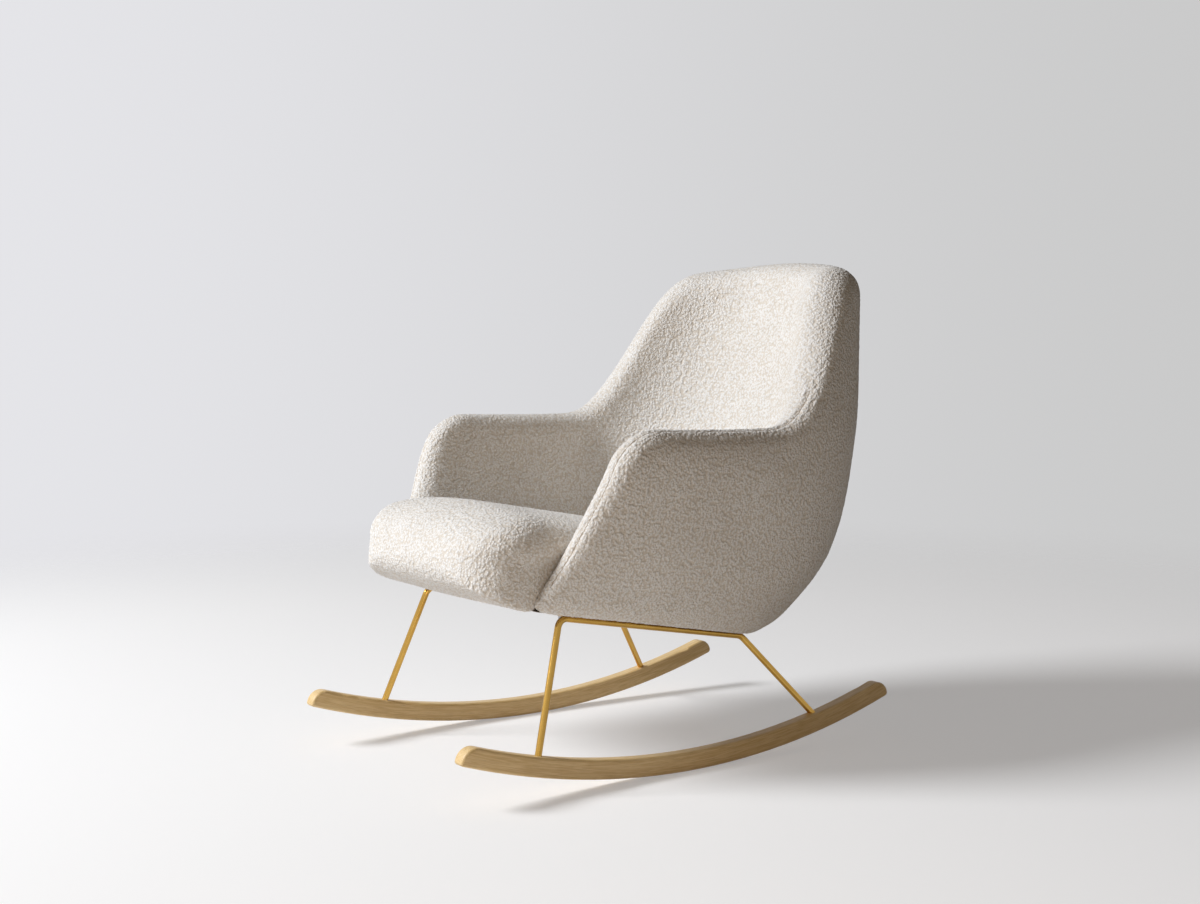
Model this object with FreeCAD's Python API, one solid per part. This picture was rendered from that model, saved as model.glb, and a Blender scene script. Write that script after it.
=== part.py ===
import FreeCAD, Part
import math
import os
from FreeCAD import Placement, Rotation, Vector

# Upholstered rocking chair, in millimetres. +Z is up, the sitter faces -Y and
# the sitter's left hand is at +X. The rockers' lowest line lies at Z = 0.

# Rockers
rocker_radius = 1405.0          # of the underside, seen from the side
rocker_depth = 32.0
rocker_width = 26.0
rocker_spacing = 500.0          # centre to centre
rocker_low_y = -11.0            # where the arc touches a level floor
rocker_front_y = -458.3         # ends of the underside's arc
rocker_rear_y = 430.0
rocker_tip_rounding = 24.0      # of the ends, from the top down
rocker_front_toe = 5.0          # rounding under the front end
rocker_rear_toe = 7.0
rocker_easing = 5.0             # radius along the edges

# Bent rods: front leg, rail and rear leg in one piece
rod_diameter = 11.0
rod_bend_radius = 18.0          # to the rod's centre line
front_foot_y = -311.0
rear_foot_y = 258.0
front_bend = Vector(206.0, -243.0, 268.0)
rear_bend = Vector(184.0, 150.0, 195.0)
foot_inset = 3.0                # feet lie inside the rockers' centre lines
socket_depth = 16.0             # how far a leg goes into its rocker
socket_clearance = 0.1

# Screws from the rockers' inner faces into the legs
leg_screw_at = 11.0             # down the leg, below the rocker's top
leg_screw_diameter = 4.0
leg_screw_head_diameter = 7.0
leg_screw_head_height = 3.0
leg_screw_grip = 3.0            # past the leg's centre line
plug_depth = 3.0                # wooden plug over the head

# Cross bars under the seat and the bolts that carry it
bar_width = 32.0
bar_thickness = 4.0
front_bar_at = 30.0             # along the rails, from the front bend
rear_bar_at = 320.0
seat_bolt_x = 168.0
seat_bolt_diameter = 6.0
seat_bolt_head_diameter = 10.5
seat_bolt_head_height = 4.0
washer_diameter = 14.0
washer_thickness = 1.6
tee_nut_barrel_diameter = 8.0
tee_nut_barrel_length = 11.0
tee_nut_flange_diameter = 18.0
tee_nut_flange_thickness = 1.5

# Seat frame, in the tilted plane of the rails
rail_width = 38.0
rail_height = 36.0
frame_half_width = 188.0
frame_front = -50.0
frame_rear = 362.0
dowel_diameter = 8.0
dowel_length = 40.0
dowel_spacing = 16.0
corner_block_leg = 45.0
corner_block_height = 28.0
frame_screw_diameter = 4.0
frame_screw_length = 22.0
frame_screw_head_diameter = 8.0
frame_screw_head_height = 2.5
frame_screws_at = (90.0, 175.0, 260.0)

# Webbing across the seat frame
webbing_width = 50.0
webbing_thickness = 2.0
lengthwise_straps = 5
crosswise_straps = 4

# Dust cover under the seat frame
dust_cover_thickness = 0.8
dust_cover_setback = 8.0        # from the tub's lower edge

# Moulded shell inside the tub
shell_thickness = 6.0
shell_cover_depth = 12.0        # foam and cover outside it
shell_flange_width = 58.0
shell_flange_rear_width = 24.0
shell_flange_thickness = 4.0
shell_rim_setback = 16.0        # below the tub's round rim
shell_front_setback = 46.0      # behind the arms' front edges

# Covers and clearances
cover_thickness = 3.0
soft_clearance = 0.3
fit_clearance = 0.2

# Outside of the tub: half width and rear reach at six levels
plan_centre_y = 100.0           # the back curves round this point
arm_height = 561.0
arm_lift = 9.0                  # how far the arms rise towards their front
back_height = 845.0
low_share = 0.10                # levels as shares of the height up to the arms
hip_share = 0.40
elbow_share = 0.93
shoulder_height = 700.0
crown_height = 846.0
base_half, base_reach = 222.0, 92.0
low_half, low_reach = 246.0, 196.0
hip_half, hip_reach = 287.0, 294.0
elbow_half, elbow_reach = 322.0, 315.0
shoulder_half, shoulder_reach = 295.0, 338.0
crown_half, crown_reach = 250.0, 368.5
base_squareness = 2.4           # of the plan curve, 2 is an ellipse
crown_squareness = 3.4

# Wall of the tub, at the sides and behind the back
floor_side_wall, floor_back_wall = 32.0, 32.0
hip_side_wall, hip_back_wall = 53.0, 171.0
elbow_side_wall, elbow_back_wall = 55.0, 113.0
shoulder_side_wall, shoulder_back_wall = 54.0, 86.0
crown_side_wall, crown_back_wall = 54.0, 85.5
inside_base_squareness = 2.2    # of the inside's plan curve
inside_crown_squareness = 2.5
arm_rounding = 30.0             # height of the round rim on the arms
crown_rounding = 48.0           # and on the back
pad_depth = 50.0                # foam behind the inner cover, hollow behind it where thick
foam_joint_turn = 22            # degrees round the plan centre where arm and back foam meet

# Arms and rim line
arm_front_low_y = -303.0        # lower end of the arms' slanted front edge
arm_front_high_y = -179.0       # upper end of that edge, before its corner is rounded
arm_corner_radius = 60.0
arm_nose_radius = 27.0          # rounding of the front edge, seen from above
arm_taper = 6.0                 # how far the arms close in at their front
rim_rise_end = 58.0             # degrees round the plan centre, from the arm
crown_dip = 24.0                # how far the rim falls from the middle of the back to its sides

# Seat cushion
seat_height = 141.0             # above the underside, at the sides
seat_crown = 11.0
seat_front = -168.0             # along the rails, from the front bend
seat_nose_depth = 102.0
seat_nose_height = 54.0         # of the foremost line, above the underside
seat_corner = 46.0              # rounding between its top and sides
seat_bow = 0.46                 # how square its front is, seen from above
seat_tuck = 14.0                # how far its lower edge is drawn in
seat_side_clearance = 2.0
seat_rear_clearance = 8.0

# The tilted plane of the seat's underside
rod_radius = rod_diameter / 2
rail_run = rear_bend.y - front_bend.y
rail_drop = front_bend.z - rear_bend.z
tilt = math.atan2(rail_drop, rail_run)
under_offset = rod_radius + fit_clearance
under_point = front_bend + Vector(0, math.sin(tilt), math.cos(tilt)) * under_offset
to_world = Placement(Vector(0, under_point.y, under_point.z), Rotation(Vector(1, 0, 0), -math.degrees(tilt)))


def under_z(y):
    return under_point.z - math.tan(tilt) * (y - under_point.y)


def tilted_to_world(x, along, above):
    return to_world.multVec(Vector(x, along, above))


def placed(shape):
    moved = shape.copy()
    moved.Placement = to_world.multiply(moved.Placement)
    return moved


def smooth_through(knots, values, at):
    # cubic through the knots, with each slope taken from its two neighbours
    count = len(knots)
    slopes = [(values[i + 1] - values[i - 1]) / (knots[i + 1] - knots[i - 1]) for i in range(1, count - 1)]
    first = 2 * (values[1] - values[0]) / (knots[1] - knots[0]) - slopes[0]
    last = 2 * (values[-1] - values[-2]) / (knots[-1] - knots[-2]) - slopes[-1]
    slopes = [first] + slopes + [last]
    i = 0
    while i < count - 2 and at > knots[i + 1]:
        i += 1
    gap = knots[i + 1] - knots[i]
    t = (at - knots[i]) / gap
    return ((2 * t ** 3 - 3 * t ** 2 + 1) * values[i] + (t ** 3 - 2 * t ** 2 + t) * gap * slopes[i]
            + (3 * t ** 2 - 2 * t ** 3) * values[i + 1] + (t ** 3 - t ** 2) * gap * slopes[i + 1])


# Tub form

outer_halves = (base_half, low_half, hip_half, elbow_half, shoulder_half, crown_half)
outer_reaches = (base_reach, low_reach, hip_reach, elbow_reach, shoulder_reach, crown_reach)
inner_halves = (base_half - floor_side_wall, hip_half - hip_side_wall, elbow_half - elbow_side_wall,
                shoulder_half - shoulder_side_wall, crown_half - crown_side_wall)
inner_reaches = (base_reach - floor_back_wall, hip_reach - hip_back_wall, elbow_reach - elbow_back_wall,
                 shoulder_reach - shoulder_back_wall, crown_reach - crown_back_wall)


def level_heights(base):
    rise = arm_height - base
    return (base, base + low_share * rise, base + hip_share * rise, base + elbow_share * rise,
            shoulder_height, crown_height)


def inner_level_heights(base):
    heights = level_heights(base)
    return (base,) + heights[2:]


def squareness(z, base, low, high):
    return low + (high - low) * (z - base) / (crown_height - base)


def inside_squareness(z, base):
    return squareness(z, base, inside_base_squareness, inside_crown_squareness)


def plan_radius(half, reach, power, angle):
    side = abs(math.cos(angle)) / half
    rear = abs(math.sin(angle)) / reach
    return (side ** power + rear ** power) ** (-1 / power)


class BackStation:
    # a cut through the back, at an angle round the plan centre from the +X arm

    def __init__(self, degrees):
        self.angle = math.radians(degrees)
        share = min(1, min(degrees, 180 - degrees) / rim_rise_end)
        rise = share ** 3 * (10 - 15 * share + 6 * share ** 2)
        dome = crown_dip * math.sin(self.angle) ** 4
        self.top = arm_height + (back_height - crown_dip - arm_height) * rise + dome
        self.rounding = arm_rounding + (crown_rounding - arm_rounding) * rise
        self.sideways = math.cos(self.angle) ** 2
        radius = plan_radius(base_half, base_reach, base_squareness, self.angle)
        self.base = under_z(plan_centre_y + radius * math.sin(self.angle))

    def outer(self, z):
        heights = level_heights(self.base)
        half, reach = smooth_through(heights, outer_halves, z), smooth_through(heights, outer_reaches, z)
        power = squareness(z, self.base, base_squareness, crown_squareness)
        return plan_radius(half, reach, power, self.angle)

    def inner(self, z):
        heights = inner_level_heights(self.base)
        half, reach = smooth_through(heights, inner_halves, z), smooth_through(heights, inner_reaches, z)
        return plan_radius(half, reach, inside_squareness(z, self.base), self.angle)

    def point(self, radius, z):
        return Vector(radius * math.cos(self.angle), plan_centre_y + radius * math.sin(self.angle), z)

    def floor(self, radius):
        # height of the underside's plane at a radius
        return under_z(self.point(radius, 0).y)

    def rim_top(self, inset):
        return self.top - inset

    def nose(self, inset):
        return 1.0


class ArmStation:
    # a cut through an arm, at a distance back from its slanted front edge

    def __init__(self, from_front, side):
        self.from_front = from_front
        self.side = side
        self.sideways = 1.0
        self.forward = 1 - from_front / (plan_centre_y - arm_front_high_y)
        self.low_y = plan_centre_y + (arm_front_low_y - plan_centre_y) * self.forward
        self.high_y = plan_centre_y + (arm_front_high_y - plan_centre_y) * self.forward
        self.base = under_z(self.low_y)
        self.rounding = arm_rounding

    def up_share(self, z):
        return (z - self.base) / (arm_height - self.base)

    def closed_in(self, z):
        return arm_taper * self.forward ** 2 * self.up_share(z)

    def outer(self, z):
        return smooth_through(level_heights(self.base), outer_halves, z) - self.closed_in(z)

    def inner(self, z):
        return smooth_through(inner_level_heights(self.base), inner_halves, z) - self.closed_in(z)

    def point(self, radius, z):
        y = self.low_y + (self.high_y - self.low_y) * self.up_share(z)
        return Vector(self.side * radius, y, z)

    def floor(self, radius):
        return self.base

    def rim_top(self, inset):
        corner = arm_corner_radius - inset
        into = max(0, corner - (self.from_front - inset))
        top = arm_height + arm_lift * self.forward ** 2
        return top - inset - corner + math.sqrt(max(0, corner ** 2 - into ** 2))

    def nose(self, inset):
        nose = arm_nose_radius - inset
        into = max(0, nose - (self.from_front - inset))
        return math.sqrt(max(0, 1 - (into / nose) ** 2))


outer_steps = (0, 0.05, 0.12, 0.25, 0.42, 0.70, 1)
inner_steps = (1, 0.78, 0.52, 0.26, 0)
nose_turns = (12, 30, 50, 70, 90)
arm_steps = (44, 64, 86, 112, 142, 175, 208, 240)
back_turns = tuple(range(0, 181, 9))


def wall_points(station, inset, raised):
    # corners and middles of the arcs round one cut of the wall: outside, rim, inside
    foot = station.base + raised
    inner_foot = station.floor(station.inner(station.base)) + raised
    shoulder = station.rim_top(inset) - station.rounding + inset

    def across(z, sign):
        outer, inner = station.outer(z), station.inner(z)
        return (outer + inner) / 2 + sign * ((outer - inner) / 2 - inset) * station.nose(inset)

    outside = [station.point(across(foot + s * (shoulder - foot), 1), foot + s * (shoulder - foot))
               for s in outer_steps]
    inside = [station.point(across(inner_foot + s * (shoulder - inner_foot), -1),
                            inner_foot + s * (shoulder - inner_foot)) for s in inner_steps]
    wide, narrow = across(shoulder, 1), across(shoulder, -1)
    rim = []
    for degrees in (45, 90, 135):
        turn = math.radians(degrees)
        radius = (wide + narrow) / 2 + (wide - narrow) / 2 * math.cos(turn)
        rim.append(station.point(radius, shoulder + (station.rounding - inset) * math.sin(turn)))
    return outside + rim + inside


def arcs_through(points):
    return [Part.Arc(points[i], points[i + 1], points[i + 2]).toShape() for i in range(0, len(points) - 2, 2)]


def line(start, end):
    return Part.LineSegment(start, end).toShape()


def stations_at(distances):
    # from distances behind the front of the +X arm, round the back, to the same on the other arm
    near = [ArmStation(distance, 1) for distance in distances]
    far = [ArmStation(distance, -1) for distance in reversed(distances)]
    return near + [BackStation(turn) for turn in back_turns] + far


def stations_round(inset):
    nose = arm_nose_radius - inset
    noses = [inset + nose * (1 - math.cos(math.radians(turn))) for turn in nose_turns]
    return stations_at(noses + list(arm_steps))


def loft(wires):
    return Part.makeLoft(wires, True, False, False, 8)


def wall_wire(station, inset, raised):
    points = wall_points(station, inset, raised)
    return Part.Wire(arcs_through(points) + [line(points[-1], points[0])])


def wall_loft(inset):
    return loft([wall_wire(station, inset, inset) for station in stations_round(inset)])


flange_top = dust_cover_thickness + shell_flange_thickness
wall_foot = flange_top + soft_clearance


def shell_face(station, depth, raised, setback, pad=None):
    # points up the tub's outside at a depth into its wall, or up the pad's rear face
    # where that is nearer the sitter
    foot = station.floor(station.outer(station.base) - depth) + raised
    top = station.rim_top(0) - station.rounding - setback
    points = []
    for z in [foot + s * (top - foot) for s in outer_steps]:
        radius = station.outer(z) - depth
        if pad:
            radius = min(radius, station.inner(z) + pad)
        points.append(station.point(radius, z))
    return points


def shell_wire(station):
    # a thin wall that follows the tub's outside, with a flange turned in at its foot
    inner_depth = shell_cover_depth + shell_thickness
    outside = shell_face(station, shell_cover_depth, dust_cover_thickness, shell_rim_setback)
    inside = shell_face(station, inner_depth, flange_top, shell_rim_setback)[::-1]
    width = shell_flange_rear_width + (shell_flange_width - shell_flange_rear_width) * station.sideways
    tip = station.outer(station.base) - shell_cover_depth - width
    tip_high = station.point(tip, station.floor(tip) + flange_top)
    tip_low = station.point(tip, station.floor(tip) + dust_cover_thickness)
    edges = arcs_through(outside) + [line(outside[-1], inside[0])] + arcs_through(inside)
    edges += [line(inside[-1], tip_high), line(tip_high, tip_low), line(tip_low, outside[0])]
    return Part.Wire(edges)


def foam_wire(station):
    # the padded wall with a slot that goes over the moulded shell from above
    inset = cover_thickness + soft_clearance
    around = wall_points(station, inset, wall_foot)
    setback = shell_rim_setback - soft_clearance
    outer_depth = shell_cover_depth - soft_clearance
    inner_depth = shell_cover_depth + shell_thickness + soft_clearance
    slot_inside = shell_face(station, inner_depth, wall_foot, setback, inset + pad_depth)
    slot_outside = shell_face(station, outer_depth, wall_foot, setback)[::-1]
    edges = arcs_through(around) + [line(around[-1], slot_inside[0])] + arcs_through(slot_inside)
    edges += [line(slot_inside[-1], slot_outside[0])] + arcs_through(slot_outside)
    return Part.Wire(edges + [line(slot_outside[-1], around[0])])


def stations_behind_front():
    # from the moulded shell's front edge on one arm to that on the other
    next_step = shell_front_setback + arm_rounding / 3
    return stations_at([shell_front_setback] + [step for step in arm_steps if step > next_step])


def make_moulded_shell():
    shell = loft([shell_wire(station) for station in stations_behind_front()])
    holes = bolt_holes(seat_bolt_diameter + 2 * fit_clearance)
    return shell.cut(holes + screw_shanks(fit_clearance) + screw_heads(fit_clearance))


def mirror_side(shape):
    return shape.mirror(Vector(0, 0, 0), Vector(1, 0, 0))


def make_tub_foam():
    # back, +X arm and -X arm, parted by upright planes through the plan centre
    foam = loft([foam_wire(station) for station in stations_behind_front()])
    size = 2 * back_height
    arm_space = Part.makeBox(size, size, size, Vector(-plan_centre_y, -size, 0))
    arm_space.Placement = Placement(Vector(0, plan_centre_y, 0), Rotation(Vector(0, 0, 1), foam_joint_turn))
    near = foam.common(arm_space)
    return foam.cut([arm_space, mirror_side(arm_space)]), near, mirror_side(near)


def make_arm_roll():
    # foam in front of the moulded shell, on the +X arm
    inset = cover_thickness + soft_clearance
    nose = arm_nose_radius - inset
    distances = [inset + nose * (1 - math.cos(math.radians(turn))) for turn in nose_turns]
    last = shell_front_setback - soft_clearance
    stations = [ArmStation(distance, 1) for distance in distances + [(distances[-1] + last) / 2, last]]
    return loft([wall_wire(station, inset, wall_foot) for station in stations])


# Seat cushion, in the tilted plane: x, along the rails, above the underside

def tub_inside_half(along, above):
    # half width of the tub's inside at a point of the seat
    spot = tilted_to_world(0, along, above)
    if spot.y <= plan_centre_y:
        share = (spot.z - under_z(spot.y)) / (arm_height - under_z(spot.y))
        front_y = arm_front_low_y + (arm_front_high_y - arm_front_low_y) * share
        forward = min(1, (plan_centre_y - spot.y) / (plan_centre_y - front_y))
        station = ArmStation((1 - forward) * (plan_centre_y - arm_front_high_y), 1)
        return station.inner(spot.z)
    base = BackStation(0).base
    half = smooth_through(inner_level_heights(base), inner_halves, spot.z)
    reach = smooth_through(inner_level_heights(base), inner_reaches, spot.z)
    power = inside_squareness(spot.z, base)
    return half * max(0, 1 - ((spot.y - plan_centre_y) / reach) ** power) ** (1 / power)


pocket_top = flange_top + rail_height + 2 * webbing_thickness + soft_clearance
seat_middle = seat_height / 2
seat_nose_turns = (7, 18, 32, 48, 68, 90)
seat_joint = (plan_centre_y - under_point.y) / math.cos(tilt)


def tub_back_inside(above):
    # along the rails, where the tub's inside back is at a height above the underside
    along = seat_joint
    for _ in range(6):
        spot = tilted_to_world(0, along, above)
        reach = smooth_through(inner_level_heights(BackStation(90).base), inner_reaches, spot.z)
        along += (plan_centre_y + reach - spot.y) / math.cos(tilt)
    return along


seat_rear = tub_back_inside(pocket_top) - seat_rear_clearance
seat_rear_lean = (tub_back_inside(seat_height) - tub_back_inside(pocket_top)) / (seat_height - pocket_top)


def seat_wire(along, inset):
    # one cut across the seat: it shrinks round its nose and leans back with the tub behind
    run = (along - seat_front - inset) / (seat_nose_depth - inset)
    nose = math.sqrt(1 - (1 - run) ** 2) if run < 1 else 1.0
    narrowing = nose ** seat_bow
    lean = seat_rear_lean * max(0, along - seat_joint) / (seat_rear - seat_joint)

    def leaned(above):
        return along + lean * (above - pocket_top)

    def spot(width, above):
        above = seat_nose_height + (above - seat_nose_height) * nose
        return tilted_to_world(width, leaned(above), above)

    def half(above):
        above = max(above, pocket_top)
        return (tub_inside_half(leaned(above), above) - seat_side_clearance - inset) * narrowing

    shoulder = seat_height - seat_corner
    top = seat_height - inset
    low, middle, high = half(0) - seat_tuck * narrowing, half(seat_middle), half(shoulder)
    slack = seat_corner * (1 - math.sqrt(0.5)) * narrowing
    edge = high - (seat_corner - inset) * narrowing
    right = [(low, inset), (middle, seat_middle), (high, shoulder), (high - slack, top - slack), (edge, top)]
    left = [(-width, above) for width, above in reversed(right)]
    around = [spot(*place) for place in right + [(0, top + seat_crown)] + left]
    return Part.Wire(arcs_through(around) + [line(around[-1], around[0])])


def seat_loft(inset):
    nose = seat_nose_depth - inset
    stops = [seat_front + inset + nose * (1 - math.cos(math.radians(turn))) for turn in seat_nose_turns]
    first = stops[-1]
    stops += [first + (seat_joint - first) * share for share in (0.1, 0.28, 0.52, 0.76, 1)]
    stops += [seat_joint + (seat_rear - inset - seat_joint) * share for share in (0.3, 0.55, 0.75, 0.9, 1)]
    return loft([seat_wire(along, inset) for along in stops])


def tilted_box(low, high):
    corner = Vector(*low)
    size = Vector(*high) - corner
    return placed(Part.makeBox(size.x, size.y, size.z, corner))


def frame_pocket():
    side = 2 * frame_half_width
    return tilted_box((-side, frame_front - soft_clearance, -seat_height),
                      (side, seat_rear + seat_height, pocket_top))


def make_tub_cover():
    # open below, with its lower edges just above the shell's flange
    size = back_height
    below = tilted_box((-size, -size, -size), (size, size, wall_foot))
    return wall_loft(0).cut(wall_loft(cover_thickness)).cut(below)


def make_seat_foam():
    return seat_loft(cover_thickness + soft_clearance).cut(frame_pocket())


def make_seat_cover():
    return seat_loft(0).cut(frame_pocket()).cut(seat_loft(cover_thickness))


# Seat frame, webbing and fasteners, in the tilted plane

def tilted_cylinder(diameter, length, x, along, above, direction=Vector(0, 0, 1)):
    return placed(Part.makeCylinder(diameter / 2, length, Vector(x, along, above), direction))


bolt_spots = [(side * seat_bolt_x, along) for along in (front_bar_at, rear_bar_at) for side in (-1, 1)]
screw_spots = [(side * seat_bolt_x, along) for along in frame_screws_at for side in (-1, 1)]
frame_top = flange_top + rail_height
side_rail_inside = frame_half_width - rail_width
dowel_spots = [(side * side_rail_inside, along, flange_top + rail_height / 2 + offset)
               for side in (-1, 1) for along in (frame_front + rail_width / 2, frame_rear - rail_width / 2)
               for offset in (-dowel_spacing / 2, dowel_spacing / 2)]


def dowels(clearance):
    length = dowel_length + 2 * clearance
    diameter = dowel_diameter + 2 * clearance
    return [tilted_cylinder(diameter, length, x - length / 2, along, above, Vector(1, 0, 0))
            for x, along, above in dowel_spots]


def bolt_holes(diameter):
    return [tilted_cylinder(diameter, frame_top + 2 * bar_thickness, x, along, -2 * bar_thickness)
            for x, along in bolt_spots]


def screw_shanks(clearance):
    return [tilted_cylinder(frame_screw_diameter + 2 * clearance, frame_screw_length + clearance, x, along,
                            dust_cover_thickness) for x, along in screw_spots]


def screw_heads(clearance):
    return [tilted_cylinder(frame_screw_head_diameter + 2 * clearance, frame_screw_head_height, x, along,
                            dust_cover_thickness) for x, along in screw_spots]


def tee_nut_holes():
    barrels = bolt_holes(tee_nut_barrel_diameter)
    recess = tee_nut_flange_thickness + fit_clearance
    seat_diameter = tee_nut_flange_diameter + 2 * fit_clearance
    seats = [tilted_cylinder(seat_diameter, recess, x, along, frame_top - recess)
             for x, along in bolt_spots]
    return barrels + seats


def make_side_rail(side):
    ends = sorted((side * side_rail_inside, side * frame_half_width))
    rail = tilted_box((ends[0], frame_front, flange_top), (ends[1], frame_rear, frame_top))
    return rail.cut(dowels(fit_clearance / 2) + tee_nut_holes() + screw_shanks(fit_clearance))


def make_end_rail(near_end):
    rail = tilted_box((-side_rail_inside, near_end, flange_top),
                      (side_rail_inside, near_end + rail_width, frame_top))
    return rail.cut(dowels(fit_clearance / 2))


def make_corner_blocks():
    blocks = []
    inside_front = frame_front + rail_width
    inside_rear = frame_rear - rail_width
    for side in (-1, 1):
        for along, inward in ((inside_front, 1), (inside_rear, -1)):
            corner = Vector(side * side_rail_inside, along, flange_top)
            legs = [corner, corner - Vector(side * corner_block_leg, 0, 0),
                    corner + Vector(0, inward * corner_block_leg, 0)]
            face = Part.Face(Part.makePolygon(legs + [corner]))
            blocks.append(placed(face.extrude(Vector(0, 0, corner_block_height))))
    return blocks


def make_lengthwise_webbing():
    step = 2 * side_rail_inside / lengthwise_straps
    middles = [step * (i + 0.5) - side_rail_inside for i in range(lengthwise_straps)]
    return [tilted_box((x - webbing_width / 2, frame_front, frame_top),
                       (x + webbing_width / 2, frame_rear, frame_top + webbing_thickness)) for x in middles]


def make_crosswise_webbing():
    inside = (frame_front + rail_width, frame_rear - rail_width)
    step = (inside[1] - inside[0]) / crosswise_straps
    low = frame_top + webbing_thickness
    middles = [inside[0] + step * (i + 0.5) for i in range(crosswise_straps)]
    return [tilted_box((-frame_half_width, along - webbing_width / 2, low),
                       (frame_half_width, along + webbing_width / 2, low + webbing_thickness))
            for along in middles]


def make_dust_cover():
    # flat sheet inside the tub's lower edge
    rear = []
    for turn in back_turns:
        station = BackStation(turn)
        edge = station.point(station.outer(station.base) - dust_cover_setback, station.base)
        rim = to_world.inverse().multVec(edge)
        rear.append(Vector(rim.x, rim.y, 0))
    curve = Part.BSplineCurve()
    curve.interpolate(rear)
    corners = [Vector(rear[-1].x, frame_front, 0), Vector(rear[0].x, frame_front, 0)]
    edges = [curve.toShape(), line(rear[-1], corners[0]), line(corners[0], corners[1]),
             line(corners[1], rear[0])]
    sheet = placed(Part.Face(Part.Wire(edges)).extrude(Vector(0, 0, dust_cover_thickness)))
    return sheet.cut(bolt_holes(seat_bolt_diameter + 2 * fit_clearance))


# Base: rods, cross bars and rockers

def rocker_z(y, radius):
    return rocker_radius - math.sqrt(radius ** 2 - (y - rocker_low_y) ** 2)


def foot_point(side, y):
    return Vector(side * (rocker_spacing / 2 - foot_inset), y, rocker_z(y, rocker_radius - rocker_depth))


def mirrored(spot, side):
    return Vector(side * spot.x, spot.y, spot.z)


def leg_lines(side):
    # each leg's top bend and its point on the rocker's top, front then rear
    return [(mirrored(front_bend, side), foot_point(side, front_foot_y)),
            (mirrored(rear_bend, side), foot_point(side, rear_foot_y))]


def leg_direction(bend, foot):
    return (foot - bend).normalize()


def rod_path(side):
    (front, front_foot), (rear, rear_foot) = leg_lines(side)
    ends = [front_foot + leg_direction(front, front_foot) * socket_depth, front, rear,
            rear_foot + leg_direction(rear, rear_foot) * socket_depth]
    edges, last = [], ends[0]
    for i in (1, 2):
        back_dir = (ends[i - 1] - ends[i]).normalize()
        on_dir = (ends[i + 1] - ends[i]).normalize()
        half_turn = back_dir.getAngle(on_dir) / 2
        reach = rod_bend_radius / math.tan(half_turn)
        begin, end = ends[i] + back_dir * reach, ends[i] + on_dir * reach
        toward = (back_dir + on_dir).normalize()
        middle = ends[i] + toward * (rod_bend_radius / math.sin(half_turn) - rod_bend_radius)
        edges += [line(last, begin), Part.Arc(begin, middle, end).toShape()]
        last = end
    return Part.Wire(edges + [line(last, ends[3])])


def make_side_frame(side):
    path = rod_path(side)
    start = path.Vertexes[0].Point
    bend, foot = leg_lines(side)[0]
    section = Part.Wire(Part.makeCircle(rod_radius, start, leg_direction(bend, foot)))
    rod = path.makePipeShell([section], True, False)
    return rod.cut([leg_screw_shank(side, leg, fit_clearance) for leg in leg_lines(side)])


def from_inner_face(diameter, side, centre, start, end):
    # a cylinder out along X, measured from the rocker's inner face
    face = rocker_spacing / 2 - rocker_width / 2
    return Part.makeCylinder(diameter / 2, end - start, Vector(side * (face + start), centre.y, centre.z),
                             Vector(side, 0, 0))


def leg_screw_centre(bend, foot):
    return foot + leg_direction(bend, foot) * leg_screw_at


def leg_screw_shank(side, leg, clearance):
    centre = leg_screw_centre(*leg)
    end = abs(centre.x) - (rocker_spacing - rocker_width) / 2 + leg_screw_grip
    return from_inner_face(leg_screw_diameter + 2 * clearance, side, centre, plug_depth, end + clearance)


def make_rocker_blank(side):
    x = side * rocker_spacing / 2 - rocker_width / 2
    centre = Vector(x, rocker_low_y, rocker_radius)

    def spot(angle, height):
        return centre + Vector(0, math.sin(angle), -math.cos(angle)) * (rocker_radius - height)

    def quarter(end, inward, rounding, top):
        # three points of a rounded corner of one end
        middle = rounding * (1 - math.sqrt(0.5))
        points = [(0, rounding), (middle, middle), (rounding, 0)]
        return [spot(end + inward * along / rocker_radius, rocker_depth - depth if top else depth)
                for along, depth in points]

    front = math.asin((rocker_front_y - rocker_low_y) / rocker_radius)
    rear = math.asin((rocker_rear_y - rocker_low_y) / rocker_radius)
    front_toe = quarter(front, 1, rocker_front_toe, False)
    front_tip = quarter(front, 1, rocker_tip_rounding, True)
    rear_toe = quarter(rear, -1, rocker_rear_toe, False)
    rear_tip = quarter(rear, -1, rocker_tip_rounding, True)
    edges = [Part.Arc(front_toe[2], spot(0, 0), rear_toe[2]).toShape(), Part.Arc(*rear_toe).toShape(),
             line(rear_toe[0], rear_tip[0]), Part.Arc(*rear_tip).toShape(),
             Part.Arc(rear_tip[2], spot(0, rocker_depth), front_tip[2]).toShape(),
             Part.Arc(*front_tip).toShape(), line(front_tip[0], front_toe[0]), Part.Arc(*front_toe).toShape()]
    blank = Part.Face(Part.Wire(Part.__sortEdges__(edges))).extrude(Vector(rocker_width, 0, 0))
    faces = [face for face in blank.Faces if abs(face.normalAt(0, 0).x) > 0.99]
    return blank.makeFillet(rocker_easing, [edge for face in faces for edge in face.Edges])


def make_rocker(side):
    cuts = []
    for leg in leg_lines(side):
        bend, foot = leg
        down = leg_direction(bend, foot)
        socket = rod_radius + socket_clearance
        cuts.append(Part.makeCylinder(socket, 2 * socket_depth + socket_clearance,
                                      foot - down * socket_depth, down))
        cuts.append(leg_screw_shank(side, leg, fit_clearance))
        cuts.append(from_inner_face(leg_screw_head_diameter + 2 * fit_clearance, side, leg_screw_centre(*leg),
                                    -rocker_width, plug_depth + leg_screw_head_height))
    return make_rocker_blank(side).cut(cuts)


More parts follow.
